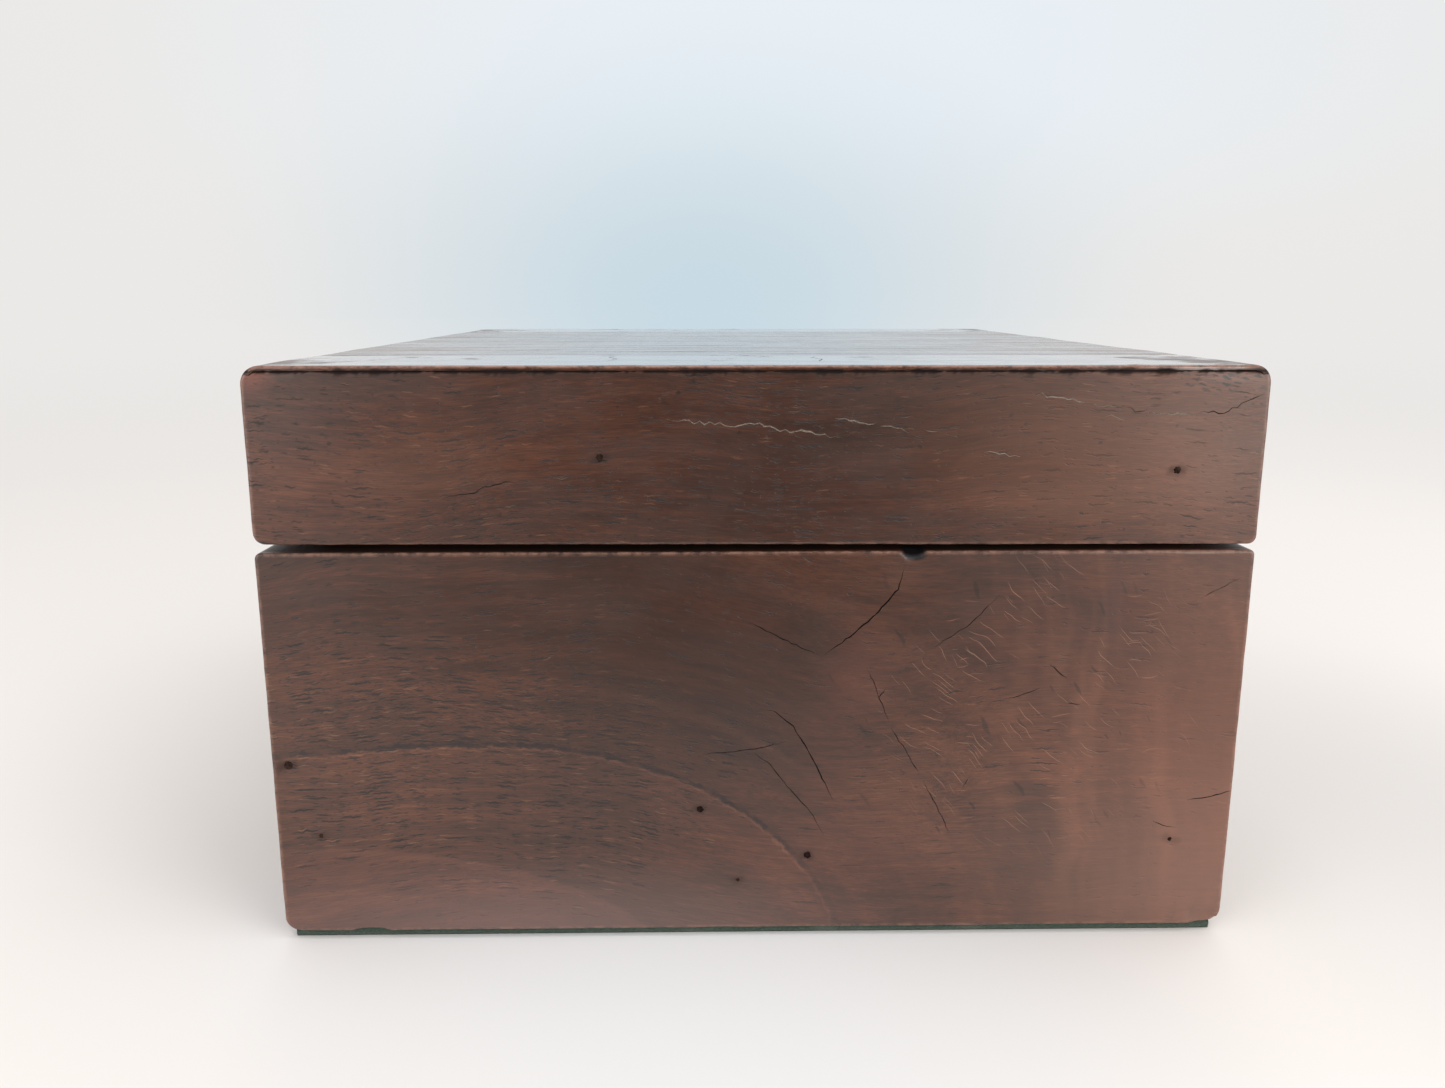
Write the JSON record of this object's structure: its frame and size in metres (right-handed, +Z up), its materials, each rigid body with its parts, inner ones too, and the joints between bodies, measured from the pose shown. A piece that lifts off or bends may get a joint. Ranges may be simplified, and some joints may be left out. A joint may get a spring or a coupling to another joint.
{
  "type": "tea caddy",
  "caption": "Rectangular wooden tea caddy with a hinged lid, two compartments under loose knobbed inner lids, a box lock and a cloth-covered base.",
  "frame": {"origin": "middle of the underside, on the surface that the caddy stands on", "axes": "+Z up, -Y towards the front with the keyhole, +Y towards the hinges, +X towards the right end. The wood's own middle is 0.3 mm towards the front, because the hinge knuckles stand 0.6 mm proud of the back."},
  "size_m": [0.216, 0.1766, 0.1066],
  "materials": {
    "mahogany": "old french polish, worn to a soft gloss, with open pores, cracks and rubbed edges",
    "inner_wood": "waxed mahogany, matt",
    "knob_wood": "turned rosewood, polished",
    "brass": "aged brass, dulled",
    "iron": "dark oxidised iron",
    "tea_lead": "dull grey lead foil, crumpled",
    "baize": "green wool baize, worn"
  },
  "bodies": {
    "caddy_body": {"base_baize": "baize", "base_board": "inner_wood", "body_back": "mahogany", "body_front": "mahogany", "body_left_end": "mahogany", "body_left_end_pins": "iron", "body_right_end": "mahogany", "body_right_end_pins": "iron", "divider": "inner_wood", "escutcheon": "brass", "left_bearers": "inner_wood", "left_foil_tray": "tea_lead", "left_hinge_lower_leaf": "brass", "left_hinge_lower_screws": "brass", "left_hinge_pin": "brass", "lining_back": "inner_wood", "lining_front": "inner_wood", "lining_left": "inner_wood", "lining_right": "inner_wood", "lock_case": "brass", "lock_cover": "brass", "lock_guide_stud": "iron", "lock_key_pin": "iron", "lock_screws": "brass", "right_bearers": "inner_wood", "right_foil_tray": "tea_lead", "right_hinge_lower_leaf": "brass", "right_hinge_lower_screws": "brass", "right_hinge_pin": "brass"},
    "lid": {"left_hinge_upper_leaf": "brass", "left_hinge_upper_screws": "brass", "lid_back": "mahogany", "lid_front": "mahogany", "lid_left_end": "mahogany", "lid_left_end_pins": "iron", "lid_right_end": "mahogany", "lid_right_end_pins": "iron", "lid_top_left_board": "mahogany", "lid_top_middle_board": "mahogany", "lid_top_right_board": "mahogany", "link_plate": "brass", "link_plate_screws": "brass", "right_hinge_upper_leaf": "brass", "right_hinge_upper_screws": "brass"},
    "left_inner_lid": {"left_inner_lid": "inner_wood", "left_inner_knob": "knob_wood"},
    "right_inner_lid": {"right_inner_lid": "inner_wood", "right_inner_knob": "knob_wood"},
    "lock_bolt": {"lock_bolt": "brass", "lock_back_spring": "iron"}
  },
  "joints": [
    {"name": "lid_hinge", "type": "hinge", "parent": "caddy_body", "child": "lid", "pos_m": [0, 0.0867, 0.07465], "axis": [-1, 0, 0], "range_deg": [0, 100]},
    {"name": "left_inner_lid_lift", "type": "slide", "parent": "caddy_body", "child": "left_inner_lid", "axis": [0, 0, 1], "range_m": [0, 0.018]},
    {"name": "right_inner_lid_lift", "type": "slide", "parent": "caddy_body", "child": "right_inner_lid", "axis": [0, 0, 1], "range_m": [0, 0.018]},
    {"name": "lock_bolt_slide", "type": "slide", "parent": "caddy_body", "child": "lock_bolt", "axis": [1, 0, 0], "range_m": [0, 0.004]}
  ]
}
